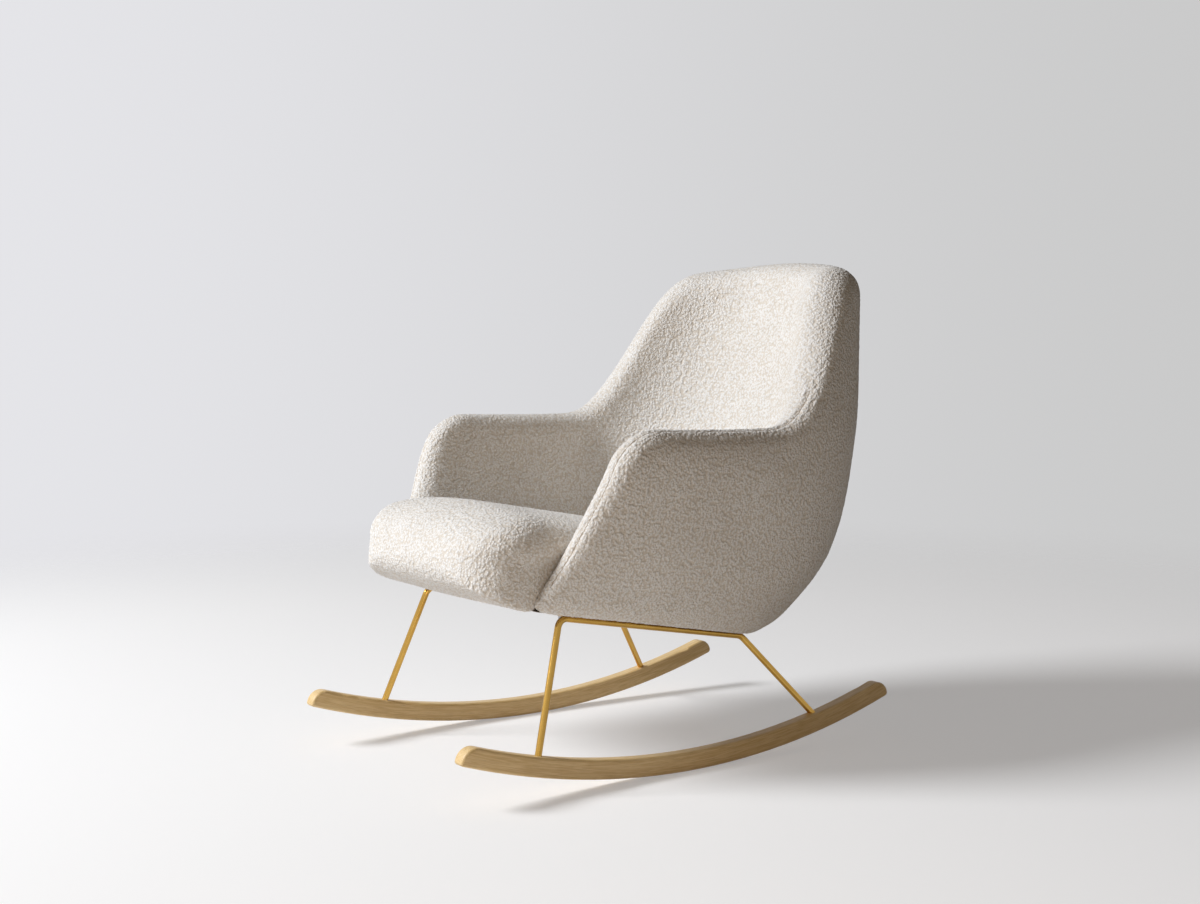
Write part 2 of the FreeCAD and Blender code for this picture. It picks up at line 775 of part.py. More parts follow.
def make_leg_screws():
    screws = []
    for side in (-1, 1):
        for leg in leg_lines(side):
            head = from_inner_face(leg_screw_head_diameter, side, leg_screw_centre(*leg), plug_depth,
                                   plug_depth + leg_screw_head_height)
            screws.append(head.fuse(leg_screw_shank(side, leg, 0)).removeSplitter())
    return screws


def make_screw_plugs():
    diameter = leg_screw_head_diameter + 2 * (fit_clearance - socket_clearance)
    return [from_inner_face(diameter, side, leg_screw_centre(*leg), 0, plug_depth)
            for side in (-1, 1) for leg in leg_lines(side)]


def make_cross_bar(along):
    # flat bar between the two rods, shaped to their sides
    shift = front_bend.x + (rear_bend.x - front_bend.x) * along * math.cos(tilt) / rail_run
    top = -fit_clearance
    bar = tilted_box((-shift, along - bar_width / 2, top - bar_thickness),
                     (shift, along + bar_width / 2, top))
    rods = []
    for side in (-1, 1):
        start, end = mirrored(front_bend, side), mirrored(rear_bend, side)
        run = end - start
        rods.append(Part.makeCylinder(rod_radius + socket_clearance, run.Length, start, run))
    return bar.cut(rods + bolt_holes(seat_bolt_diameter + 2 * fit_clearance))


def make_seat_bolts():
    bolts = []
    head_top = -fit_clearance - bar_thickness - washer_thickness
    for x, along in bolt_spots:
        head_low = head_top - seat_bolt_head_height
        head = tilted_cylinder(seat_bolt_head_diameter, seat_bolt_head_height, x, along, head_low)
        shank = tilted_cylinder(seat_bolt_diameter, frame_top - head_top, x, along, head_top)
        bolts.append(head.fuse(shank).removeSplitter())
    return bolts


def make_seat_washers():
    low = -fit_clearance - bar_thickness - washer_thickness
    holes = bolt_holes(seat_bolt_diameter + 2 * fit_clearance)
    return [tilted_cylinder(washer_diameter, washer_thickness, x, along, low).cut(holes)
            for x, along in bolt_spots]


def make_tee_nuts():
    nuts = []
    barrel_low = frame_top - tee_nut_flange_thickness - tee_nut_barrel_length
    barrel = tee_nut_barrel_diameter - 2 * fit_clearance
    for x, along in bolt_spots:
        flange = tilted_cylinder(tee_nut_flange_diameter, tee_nut_flange_thickness, x, along,
                                 frame_top - tee_nut_flange_thickness)
        body = tilted_cylinder(barrel, tee_nut_barrel_length, x, along, barrel_low)
        holes = bolt_holes(seat_bolt_diameter + 2 * socket_clearance)
        nuts.append(flange.fuse(body).removeSplitter().cut(holes))
    return nuts


def make_frame_screws():
    return [head.fuse(shank).removeSplitter() for head, shank in zip(screw_heads(0), screw_shanks(0))]


back_foam, left_arm_foam, right_arm_foam = make_tub_foam()
left_arm_roll = make_arm_roll()
nodes = {
    "left_rocker": make_rocker(1),
    "right_rocker": make_rocker(-1),
    "left_side_frame": make_side_frame(1),
    "right_side_frame": make_side_frame(-1),
    "front_cross_bar": make_cross_bar(front_bar_at),
    "rear_cross_bar": make_cross_bar(rear_bar_at),
    "leg_screws": make_leg_screws(),
    "screw_plugs": make_screw_plugs(),
    "seat_bolts": make_seat_bolts(),
    "seat_washers": make_seat_washers(),
    "tee_nuts": make_tee_nuts(),
    "moulded_shell": make_moulded_shell(),
    "left_seat_rail": make_side_rail(1),
    "right_seat_rail": make_side_rail(-1),
    "front_seat_rail": make_end_rail(frame_front),
    "rear_seat_rail": make_end_rail(frame_rear - rail_width),
    "frame_dowels": dowels(0),
    "corner_blocks": make_corner_blocks(),
    "frame_screws": make_frame_screws(),
    "lengthwise_webbing": make_lengthwise_webbing(),
    "crosswise_webbing": make_crosswise_webbing(),
    "dust_cover": make_dust_cover(),
    "seat_foam": make_seat_foam(),
    "seat_cover": make_seat_cover(),
    "back_foam": back_foam,
    "left_arm_foam": left_arm_foam,
    "right_arm_foam": right_arm_foam,
    "left_arm_roll": left_arm_roll,
    "right_arm_roll": mirror_side(left_arm_roll),
    "tub_cover": make_tub_cover(),
}

os.makedirs("parts", exist_ok=True)
for name, made in nodes.items():
    shape = Part.makeCompound(made) if isinstance(made, list) else made
    shape.exportStep("parts/" + name + ".step")
    volumes = [round(solid.Volume / 1000, 2) for solid in shape.Solids]
    print(name, "solids", len(shape.Solids), "valid", shape.isValid(), "cm3", volumes[:6])
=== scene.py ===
import math

import bmesh
import bpy
import numpy
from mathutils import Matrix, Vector, kdtree


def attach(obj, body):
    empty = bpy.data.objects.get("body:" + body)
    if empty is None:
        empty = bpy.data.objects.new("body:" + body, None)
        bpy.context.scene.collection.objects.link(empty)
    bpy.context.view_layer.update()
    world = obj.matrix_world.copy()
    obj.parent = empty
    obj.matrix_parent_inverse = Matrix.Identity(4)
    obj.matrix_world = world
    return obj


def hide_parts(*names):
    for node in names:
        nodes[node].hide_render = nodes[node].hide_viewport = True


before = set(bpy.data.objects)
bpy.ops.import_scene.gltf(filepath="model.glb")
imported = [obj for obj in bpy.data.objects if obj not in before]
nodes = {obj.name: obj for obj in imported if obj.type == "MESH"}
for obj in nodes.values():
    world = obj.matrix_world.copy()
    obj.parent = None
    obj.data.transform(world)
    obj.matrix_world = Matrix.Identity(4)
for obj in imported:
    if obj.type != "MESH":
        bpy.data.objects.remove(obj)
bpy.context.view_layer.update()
scene = bpy.context.scene
mm = 0.001
print("frame loaded:", len(nodes), "nodes")

# Forms are worked out in millimetres, in the same frame as the solids: +Z up, the sitter faces -Y.

# the tilted plane of the seat's underside, just above the rods' rails
seatPlane = {
    "frontY": -243.0, "frontZ": 268.0, "rearY": 150.0, "rearZ": 195.0, "rodRadius": 5.5, "gap": 0.2,
}
tilt = math.atan2(seatPlane["frontZ"] - seatPlane["rearZ"], seatPlane["rearY"] - seatPlane["frontY"])
rodTop = seatPlane["rodRadius"] + seatPlane["gap"]
planeY = seatPlane["frontY"] + math.sin(tilt) * rodTop
planeZ = seatPlane["frontZ"] + math.cos(tilt) * rodTop


def underZ(y):
    return planeZ - math.tan(tilt) * (y - planeY)


def tiltedPoint(x, along, above):
    return Vector((x, planeY + along * math.cos(tilt) + above * math.sin(tilt),
                   planeZ - along * math.sin(tilt) + above * math.cos(tilt)))


def smoothThrough(knots, values, at):
    count = len(knots)
    slopes = [(values[i + 1] - values[i - 1]) / (knots[i + 1] - knots[i - 1]) for i in range(1, count - 1)]
    first = 2 * (values[1] - values[0]) / (knots[1] - knots[0]) - slopes[0]
    last = 2 * (values[-1] - values[-2]) / (knots[-1] - knots[-2]) - slopes[-1]
    slopes = [first] + slopes + [last]
    i = 0
    while i < count - 2 and at > knots[i + 1]:
        i += 1
    gap = knots[i + 1] - knots[i]
    t = (at - knots[i]) / gap
    return ((2 * t ** 3 - 3 * t ** 2 + 1) * values[i] + (t ** 3 - 2 * t ** 2 + t) * gap * slopes[i]
            + (3 * t ** 2 - 2 * t ** 3) * values[i + 1] + (t ** 3 - t ** 2) * gap * slopes[i + 1])


# How both soft pieces are inflated inside their covers

padding = {
    "shrink": 4.0,          # mm that the start lies inside the finished form
    "voxel": 6.0,           # mm
    "pressure": 4.0, "stiffness": 22.0, "bending": 2.0, "mass": 0.4, "quality": 3, "frames": 20,
    "evening": 30,          # passes that even out the rises
}

# Tub: back and both arms in one padded form

tub = {
    "centreY": 100.0, "armHeight": 561.0, "armLift": 9.0, "backHeight": 845.0,
    "shares": (0.10, 0.40, 0.93), "shoulderZ": 700.0, "crownZ": 846.0,
    "halves": (222.0, 246.0, 287.0, 322.0, 295.0, 250.0),
    "reaches": (92.0, 196.0, 294.0, 315.0, 338.0, 368.5),
    "innerHalves": (190.0, 234.0, 267.0, 241.0, 196.0),
    "innerReaches": (60.0, 123.0, 202.0, 252.0, 283.0),
    "squareLow": 2.4, "squareHigh": 3.4, "innerSquareLow": 2.2, "innerSquareHigh": 2.5,
    "armRounding": 30.0, "crownRounding": 48.0, "riseEnd": 58.0, "crownDip": 24.0,
    "frontLowY": -303.0, "frontHighY": -179.0, "corner": 60.0, "nose": 27.0, "taper": 6.0,
    "footCorner": 16.0,
    "bunch": 1.15,          # points of the outside crowd towards its foot
    "cap": 9.0,             # most that a point may rise from its start, in mm
}
armLength = tub["centreY"] - tub["frontHighY"]


def levelHeights(base):
    rise = tub["armHeight"] - base
    between = tuple(base + share * rise for share in tub["shares"])
    return (base,) + between + (tub["shoulderZ"], tub["crownZ"])


def innerHeights(base):
    return (base,) + levelHeights(base)[2:]


def squareness(z, base, low, high):
    return low + (high - low) * (z - base) / (tub["crownZ"] - base)


class BackCut:
    # a cut through the back, at an angle round the plan centre from the +X arm
    def __init__(self, degrees):
        self.angle = math.radians(degrees)
        share = min(1, min(degrees, 180 - degrees) / tub["riseEnd"])
        rise = share ** 3 * (10 - 15 * share + 6 * share ** 2)
        self.top = (tub["armHeight"] + (tub["backHeight"] - tub["crownDip"] - tub["armHeight"]) * rise
                    + tub["crownDip"] * math.sin(self.angle) ** 4)
        self.rounding = tub["armRounding"] + (tub["crownRounding"] - tub["armRounding"]) * rise
        footRadius = self.plan(tub["halves"][0], tub["reaches"][0], tub["squareLow"])
        self.base = underZ(tub["centreY"] + footRadius * math.sin(self.angle))

    def plan(self, half, reach, power):
        side = abs(math.cos(self.angle)) / half
        rear = abs(math.sin(self.angle)) / reach
        return (side ** power + rear ** power) ** (-1 / power)

    def wall(self, z, heights, halves, reaches, powers):
        return self.plan(smoothThrough(heights, halves, z), smoothThrough(heights, reaches, z),
                         squareness(z, self.base, *powers))

    def outer(self, z):
        return self.wall(z, levelHeights(self.base), tub["halves"], tub["reaches"],
                         (tub["squareLow"], tub["squareHigh"]))

    def inner(self, z):
        return self.wall(z, innerHeights(self.base), tub["innerHalves"], tub["innerReaches"],
                         (tub["innerSquareLow"], tub["innerSquareHigh"]))

    def point(self, radius, z):
        return Vector((radius * math.cos(self.angle), tub["centreY"] + radius * math.sin(self.angle), z))

    def floor(self, radius):
        return underZ(self.point(radius, 0).y)

    def rimTop(self, inset):
        return self.top - inset

    def noseShare(self, inset):
        return 1.0

    def footLift(self, inset):
        return 0.0


class ArmCut:
    # a cut through an arm, at a distance back from its slanted front edge
    def __init__(self, fromFront, side):
        self.fromFront, self.side = fromFront, side
        self.forward = 1 - fromFront / armLength
        self.lowY = tub["centreY"] + (tub["frontLowY"] - tub["centreY"]) * self.forward
        self.highY = tub["centreY"] + (tub["frontHighY"] - tub["centreY"]) * self.forward
        self.base = underZ(self.lowY)
        self.rounding = tub["armRounding"]

    def upShare(self, z):
        return (z - self.base) / (tub["armHeight"] - self.base)

    def closedIn(self, z):
        return tub["taper"] * self.forward ** 2 * self.upShare(z)

    def outer(self, z):
        return smoothThrough(levelHeights(self.base), tub["halves"], z) - self.closedIn(z)

    def inner(self, z):
        return smoothThrough(innerHeights(self.base), tub["innerHalves"], z) - self.closedIn(z)

    def point(self, radius, z):
        return Vector((self.side * radius, self.lowY + (self.highY - self.lowY) * self.upShare(z), z))

    def floor(self, radius):
        return self.base

    def rimTop(self, inset):
        corner = tub["corner"] - inset
        into = max(0, corner - (self.fromFront - inset))
        top = tub["armHeight"] + tub["armLift"] * self.forward ** 2
        return top - inset - corner + math.sqrt(max(0, corner ** 2 - into ** 2))

    def noseShare(self, inset):
        nose = tub["nose"] - inset
        into = max(0, nose - (self.fromFront - inset))
        return math.sqrt(max(0, 1 - (into / nose) ** 2))

    def footLift(self, inset):
        corner = tub["footCorner"] - inset
        into = max(0, corner - (self.fromFront - inset))
        return corner - math.sqrt(max(0, corner ** 2 - into ** 2))


def across(cut, z, sign, inset):
    outer, inner = cut.outer(z), cut.inner(z)
    return (outer + inner) / 2 + sign * ((outer - inner) / 2 - inset) * cut.noseShare(inset)


def rimPoint(cut, turn, inset):
    # a point of the round rim: turn is 0 outside, a quarter turn on top, a half turn inside
    shoulder = cut.rimTop(inset) - cut.rounding + inset
    wide, narrow = across(cut, shoulder, 1, inset), across(cut, shoulder, -1, inset)
    radius = (wide + narrow) / 2 + (wide - narrow) / 2 * math.cos(turn)
    return cut.point(radius, shoulder + (cut.rounding - inset) * math.sin(turn))


def wallLoop(cut, inset):
    # once round the wall: up the outside, over the rim, down the inside, back underneath
    outCount, rimCount, inCount, underCount = 76, 15, 70, 6
    shoulder = cut.rimTop(inset) - cut.rounding + inset
    foot = cut.base + cut.footLift(inset) + inset
    innerFoot = cut.floor(cut.inner(cut.base)) + cut.footLift(inset) + inset
    loop = []
    for i in range(outCount):
        z = foot + (shoulder - foot) * (i / outCount) ** tub["bunch"]
        loop.append(cut.point(across(cut, z, 1, inset), z))
    loop += [rimPoint(cut, math.pi * i / rimCount, inset) for i in range(rimCount)]
    for i in range(inCount + 1):
        z = shoulder + (innerFoot - shoulder) * i / inCount
        loop.append(cut.point(across(cut, z, -1, inset), z))
    first, last = loop[0], loop[-1]
    loop += [last.lerp(first, i / underCount) for i in range(1, underCount)]
    return loop


def tubCuts(inset):
    nose = tub["nose"] - inset
    distances = [inset + nose * (1 - math.cos(math.radians(turn))) for turn in range(5, 91, 7)]
    armSteps, backSteps = 32, 120
    last = distances[-1]
    distances += [last + (armLength - last) * i / armSteps for i in range(1, armSteps)]
    near = [ArmCut(distance, 1) for distance in distances]
    far = [ArmCut(distance, -1) for distance in reversed(distances)]
    return near + [BackCut(180 * i / backSteps) for i in range(backSteps + 1)] + far


def linked(name, data):
    piece = bpy.data.objects.new(name, data)
    scene.collection.objects.link(piece)
    return piece


def skinLoops(name, loops):
    # closes a row of loops into one skin, with flat ends
    built = bmesh.new()
    rows = [[built.verts.new(point * mm) for point in loop] for loop in loops]
    count = len(rows[0])
    for near, far in zip(rows, rows[1:]):
        for i in range(count):
            j = (i + 1) % count
            built.faces.new((near[i], near[j], far[j], far[i]))
    built.faces.new(rows[0])
    built.faces.new(rows[-1])
    bmesh.ops.recalc_face_normals(built, faces=built.faces)
    mesh = bpy.data.meshes.new(name)
    built.to_mesh(mesh)
    built.free()
    return linked(name, mesh)


def evaluatedMesh(piece):
    # what the piece's modifiers make of it
    evaluated = piece.evaluated_get(bpy.context.evaluated_depsgraph_get())
    return bpy.data.meshes.new_from_object(evaluated)


def settle(piece):
    # the piece as its modifiers leave it, as a plain mesh
    mesh = evaluatedMesh(piece)
    old = piece.data
    piece.modifiers.clear()
    piece.data = mesh
    bpy.data.meshes.remove(old)
    mesh.name = piece.name


def remeshed(piece):
    modifier = piece.modifiers.new("even", "REMESH")
    modifier.mode = "VOXEL"
    modifier.voxel_size = padding["voxel"] * mm
    modifier.use_smooth_shade = True
    settle(piece)


def evened(mesh, values, passes):
    # each point's value drawn towards its neighbours' mean
    ends = numpy.empty(2 * len(mesh.edges), dtype=numpy.int64)
    mesh.edges.foreach_get("vertices", ends)
    first, second = ends[0::2], ends[1::2]
    count = len(mesh.vertices)
    neighbours = numpy.bincount(ends, minlength=count)
    for _ in range(passes):
        total = numpy.bincount(first, values[second], count)
        total += numpy.bincount(second, values[first], count)
        values = (values + total / neighbours) / 2
    return values


def inflate(piece, cap):
    # cloth under pressure and without weight; each point rises by the shrink at least, by the cap at most
    start = [vertex.co.copy() for vertex in piece.data.vertices]
    normals = [vertex.normal.copy() for vertex in piece.data.vertices]
    least, most = padding["shrink"] * mm, cap * mm
    cloth = piece.modifiers.new("padding", "CLOTH")
    settings = cloth.settings
    settings.quality, settings.mass = padding["quality"], padding["mass"]
    settings.tension_stiffness = settings.compression_stiffness = padding["stiffness"]
    settings.bending_stiffness = padding["bending"]
    settings.use_pressure, settings.uniform_pressure_force = True, padding["pressure"]
    settings.effector_weights.gravity = 0
    cloth.collision_settings.use_collision = False
    cloth.point_cache.frame_start, cloth.point_cache.frame_end = 1, padding["frames"]
    for step in range(1, padding["frames"] + 1):
        scene.frame_set(step)
    settle(piece)
    scene.frame_set(1)
    vertices = piece.data.vertices
    rises = numpy.array([(vertex.co - place).dot(normal)
                         for vertex, place, normal in zip(vertices, start, normals)])
    rises = evened(piece.data, numpy.clip(rises, least, most), padding["evening"])
    for vertex, place, normal, rise in zip(vertices, start, normals, rises):
        vertex.co = place + normal * float(rise)
    print(piece.name, "inflated, up to", round(float(rises.max() - least) / mm, 1), "mm outside the form")


def subdivided(piece):
    modifier = piece.modifiers.new("fine", "SUBSURF")
    modifier.levels = modifier.render_levels = 1
    settle(piece)


def smoothShaded(piece):
    for polygon in piece.data.polygons:
        polygon.use_smooth = True


def padOut(piece, cap):
    remeshed(piece)
    print(piece.name, "form:", len(piece.data.vertices), "points")
    inflate(piece, cap)
    subdivided(piece)


tubCover = skinLoops("tubCover", [wallLoop(cut, padding["shrink"]) for cut in tubCuts(padding["shrink"])])
padOut(tubCover, tub["cap"])

# Seat cushion: crowned, with a round front, its back leaning with the tub

seat = {
    "height": 141.0, "crown": 11.0, "front": -168.0, "noseDepth": 102.0, "noseHeight": 54.0,
    "corner": 46.0, "bow": 0.46, "tuck": 8.0, "sideGap": 2.0, "rearGap": 8.0,
    "frameFront": -50.0, "frameHalf": 188.0, "pocketTop": 45.1, "skirtEnd": -22.0,
    "sag": 3.0, "sagFrom": -110.0, "skirtPress": 5.0,       # lower edge beside the arms' feet
    "frameGap": 1.0, "underTuck": 4.0, "stepBack": 0.3, "stepRun": 0.2,     # pocket round the frame
    "cap": 10.0,            # most that a point may rise from its start, in mm
}


def forwardShare(spot):
    # how far along the arm a point lies: 0 at the plan centre, 1 on the slanted front edge
    share = (spot.z - underZ(spot.y)) / (tub["armHeight"] - underZ(spot.y))
    frontY = tub["frontLowY"] + (tub["frontHighY"] - tub["frontLowY"]) * share
    return (tub["centreY"] - spot.y) / (tub["centreY"] - frontY)


def tubInsideHalf(along, above):
    spot = tiltedPoint(0, along, above)
    if spot.y <= tub["centreY"]:
        return ArmCut((1 - min(1, forwardShare(spot))) * armLength, 1).inner(spot.z)
    base = BackCut(0).base
    half = smoothThrough(innerHeights(base), tub["innerHalves"], spot.z)
    reach = smoothThrough(innerHeights(base), tub["innerReaches"], spot.z)
    power = squareness(spot.z, base, tub["innerSquareLow"], tub["innerSquareHigh"])
    return half * max(0, 1 - ((spot.y - tub["centreY"]) / reach) ** power) ** (1 / power)


def armFace(along, above):
    # half width between the arms' rounded inner faces, without end in front of them
    spot = tiltedPoint(0, along, above)
    forward = forwardShare(spot)
    cut = ArmCut((1 - forward) * armLength, 1)
    if forward >= 1 or spot.z < cut.base + cut.footLift(0):
        return math.inf
    return across(cut, spot.z, -1, 0) if spot.y < tub["centreY"] else tubInsideHalf(along, above)


def tubBackInside(above):
    # found in a few steps, as the back leans
    along = seatJoint
    for _ in range(6):
        spot = tiltedPoint(0, along, above)
        reach = smoothThrough(innerHeights(BackCut(90).base), tub["innerReaches"], spot.z)
        along += (tub["centreY"] + reach - spot.y) / math.cos(tilt)
    return along


seatJoint = (tub["centreY"] - planeY) / math.cos(tilt)
seatRear = tubBackInside(seat["pocketTop"]) - seat["rearGap"]
seatLean = ((tubBackInside(seat["height"]) - tubBackInside(seat["pocketTop"]))
            / (seat["height"] - seat["pocketTop"]))


def seatLoop(along, inset, pocket, skirt):
    # one cut across the seat: it shrinks round its nose and leans back with the tub behind
    run = (along - seat["front"] - inset) / (seat["noseDepth"] - inset)
    nose = math.sqrt(1 - (1 - run) ** 2) if run < 1 else 1.0
    narrowing = nose ** seat["bow"]
    lean = seatLean * max(0, along - seatJoint) / (seatRear - seatJoint)
    middle, shoulder, top = seat["height"] / 2, seat["height"] - seat["corner"], seat["height"] - inset
    sag = seat["sag"] * min(1, max(0, (along - seat["sagFrom"]) / (seat["frameFront"] - seat["sagFrom"])))
    bottom = inset - sag if skirt or not pocket else inset + pocket

    def leaned(above):
        return along + lean * (above - seat["pocketTop"])

    def spot(width, above):
        above = seat["noseHeight"] + (above - seat["noseHeight"]) * nose
        return tiltedPoint(width, leaned(above), above)

    def half(above):
        # upright in front of the arms, tucked in below, and close to their faces between them
        level = max(above, middle)
        free = tubInsideHalf(leaned(level), level) - seat["tuck"] * max(0, 1 - above / middle) ** 2
        press = seat["skirtPress"] if above < seat["pocketTop"] else 0
        return (min(free, armFace(leaned(above), above) + press) - seat["sideGap"] - inset) * narrowing

    sideSteps, cornerSteps, crownSteps, underSteps = 24, 12, 22, 20
    heights = [bottom + (shoulder - bottom) * i / sideSteps for i in range(sideSteps)]
    side = [(half(above), above) for above in heights]
    high, reach = half(shoulder), (seat["corner"] - inset) * narrowing
    for i in range(cornerSteps):
        turn = math.radians(90 * i / cornerSteps)
        side.append((high - reach * (1 - math.cos(turn)), shoulder + (top - shoulder) * math.sin(turn)))
    edge, crown = high - reach, []
    for i in range(crownSteps + 1):
        outward = 1 - i / crownSteps
        crown.append((edge * outward, top + seat["crown"] * (1 - outward ** 2)))
    right = side + crown
    left = [(-width, above) for width, above in reversed(right[:-1])]
    inner = seat["frameHalf"] + seat["frameGap"] if skirt else right[0][0] - seat["underTuck"]
    ceiling = inset + pocket if skirt else bottom
    under = [(-inner + inner * i / underSteps, ceiling) for i in range(2 * underSteps + 1)]
    under = [(-inner, bottom)] + under + [(inner, bottom)]
    return [spot(*place) for place in right + left + under]


def seatLoops(inset):
    nose = seat["noseDepth"] - inset
    stops = [seat["front"] + inset + nose * (1 - math.cos(math.radians(turn))) for turn in range(4, 91, 6)]
    step = seat["frameFront"] - inset - seat["stepBack"]
    after = step + seat["stepRun"]
    skirtEnd = seat["skirtEnd"] - inset
    skirtSteps, sideSteps, rearSteps = 6, 50, 14
    front = [along for along in stops if along < step] + [step]
    skirt = [after + (skirtEnd - after) * i / skirtSteps for i in range(skirtSteps + 1)]
    behind = skirtEnd + seat["stepRun"]
    rest = [behind + (seatJoint - skirtEnd) * i / sideSteps for i in range(sideSteps + 1)]
    rest += [seatJoint + (seatRear - inset - seatJoint) * i / rearSteps for i in range(1, rearSteps + 1)]
    loops = [seatLoop(along, inset, 0, False) for along in front]
    loops += [seatLoop(along, inset, seat["pocketTop"], True) for along in skirt]
    return loops + [seatLoop(along, inset, seat["pocketTop"], False) for along in rest]


seatCushion = skinLoops("seatCushion", seatLoops(padding["shrink"]))
padOut(seatCushion, seat["cap"])

# Seam: sewn up the arm fronts and over the rim, a little outside the middle

seam = {
    "outward": 8.3, "footGap": 42.0, "reach": 20.0, "pressStep": 2.0, "threadStep": 3.0,
    "groove": 1.9, "grooveWidth": 2.8, "ridge": 0.6, "ridgeAway": 6.5, "ridgeWidth": 3.0,
    "cordRadius": 0.6, "stitchLength": 4.6, "stitchPitch": 7.0, "threadRadius": 0.7,
}


def seamHalf(side):
    share = seam["outward"] / tub["nose"]
    edge = ArmCut(tub["nose"] * (1 - math.sqrt(1 - share ** 2)), side)
    foot, shoulder = edge.base + seam["footGap"], edge.rimTop(0) - edge.rounding
    frontSteps, rimSteps = 70, 120
    path = []
    for i in range(frontSteps):
        z = foot + (shoulder - foot) * i / frontSteps
        path.append(edge.point(across(edge, z, 1, 0), z))
    for i in range(rimSteps + 1):
        cut = ArmCut(edge.fromFront + (armLength - edge.fromFront) * (i / rimSteps) ** 2, side)
        path.append(rimPoint(cut, math.acos(min(1, share / max(share, cut.noseShare(0)))), 0))
    return path


def seamPath(side):
    turn = math.acos(seam["outward"] / tub["nose"])
    ends = [degrees if side > 0 else 180 - degrees for degrees in range(2, 21, 2)]
    return seamHalf(side) + [rimPoint(BackCut(degrees), turn, 0) for degrees in ends]


def laidOn(piece, path, step):
    # the path brought onto the piece's surface, at even steps
    points = []
    for near, far in zip(path, path[1:]):
        count = max(1, round((far - near).length / step))
        points += [near.lerp(far, i / count) for i in range(count)]
    points.append(path[-1])
    return [piece.closest_point_on_mesh(point * mm)[1] for point in points]


def pressSeam(piece, laid):
    tree = kdtree.KDTree(len(laid))
    for i, place in enumerate(laid):
        tree.insert(place, i)
    tree.balance()
    shifts = []
    for vertex in piece.data.vertices:
        away = tree.find(vertex.co)[2] / mm
        if away < seam["reach"]:
            sink = seam["groove"] * math.exp(-(away / seam["grooveWidth"]) ** 2)
            lift = seam["ridge"] * math.exp(-((away - seam["ridgeAway"]) / seam["ridgeWidth"]) ** 2)
            shifts.append((vertex.index, vertex.normal * (lift - sink) * mm))
    for index, shift in shifts:
        piece.data.vertices[index].co += shift


for side in (1, -1):
    seamLine = laidOn(tubCover, seamPath(side), seam["pressStep"])
    pressSeam(tubCover, seamLine)
    print("seam pressed in:", len(seamLine), "points")

# Materials


class Wiring:
    # short ways to add and join the nodes of one tree
    def __init__(self, tree):
        self.tree = tree

    def add(self, kind, settings=None, **inputs):
        node = self.tree.nodes.new(kind)
        for key, value in (settings or {}).items():
            setattr(node, key, value)
        for key, value in inputs.items():
            self.join(value, node.inputs[key.replace("_", " ")])
        return node

    def join(self, value, socket):
        if isinstance(value, bpy.types.NodeSocket):
            self.tree.links.new(value, socket)
        else:
            socket.default_value = value

    def math(self, operation, first, second=0.0, third=0.0):
        node = self.tree.nodes.new("ShaderNodeMath")
        node.operation = operation
        for value, socket in zip((first, second, third), node.inputs):
            self.join(value, socket)
        return node.outputs[0]

    def warped(self, place, size, reach):
        # coordinates pushed about by a soft noise
        drift = self.add("ShaderNodeTexNoise", Vector=place, Detail=1.0,
                         Scale=self.math("DIVIDE", 1.0, size))
        shifted = self.add("ShaderNodeVectorMath", {"operation": "MULTIPLY_ADD"})
        for value, socket in zip((drift.outputs["Color"], reach, place), shifted.inputs):
            self.join(value, socket)
        return shifted.outputs[0]

    def loops(self, place, size):
        return self.add("ShaderNodeTexVoronoi", {"feature": "SMOOTH_F1"}, Vector=place, Smoothness=0.25,
                        Scale=self.math("DIVIDE", 1.0, size)).outputs["Distance"]

    def hypot(self, first, second):
        squares = self.math("ADD", self.math("POWER", first, 2), self.math("POWER", second, 2))
        return self.math("SQRT", squares)

    def ramp(self, factor, *stops):
        node = self.add("ShaderNodeValToRGB", Fac=factor)
        elements = node.color_ramp.elements
        while len(elements) < len(stops):
            elements.new(0.5)
        for element, (position, colour) in zip(elements, stops):
            element.position, element.color = position, (*colour, 1)
        return node.outputs["Color"]

    def seenDirectly(self):
        # 1 for what the camera sees, straight or in polished metal
        path = self.add("ShaderNodeLightPath").outputs
        seen = self.math("MAXIMUM", path["Is Camera Ray"], path["Is Glossy Ray"])
        return self.math("MAXIMUM", seen, path["Is Transmission Ray"])

    def blend(self, share, first, second):
        node = self.add("ShaderNodeMixShader")
        for value, socket in zip((share, first, second), node.inputs):
            self.join(value, socket)
        return node.outputs[0]


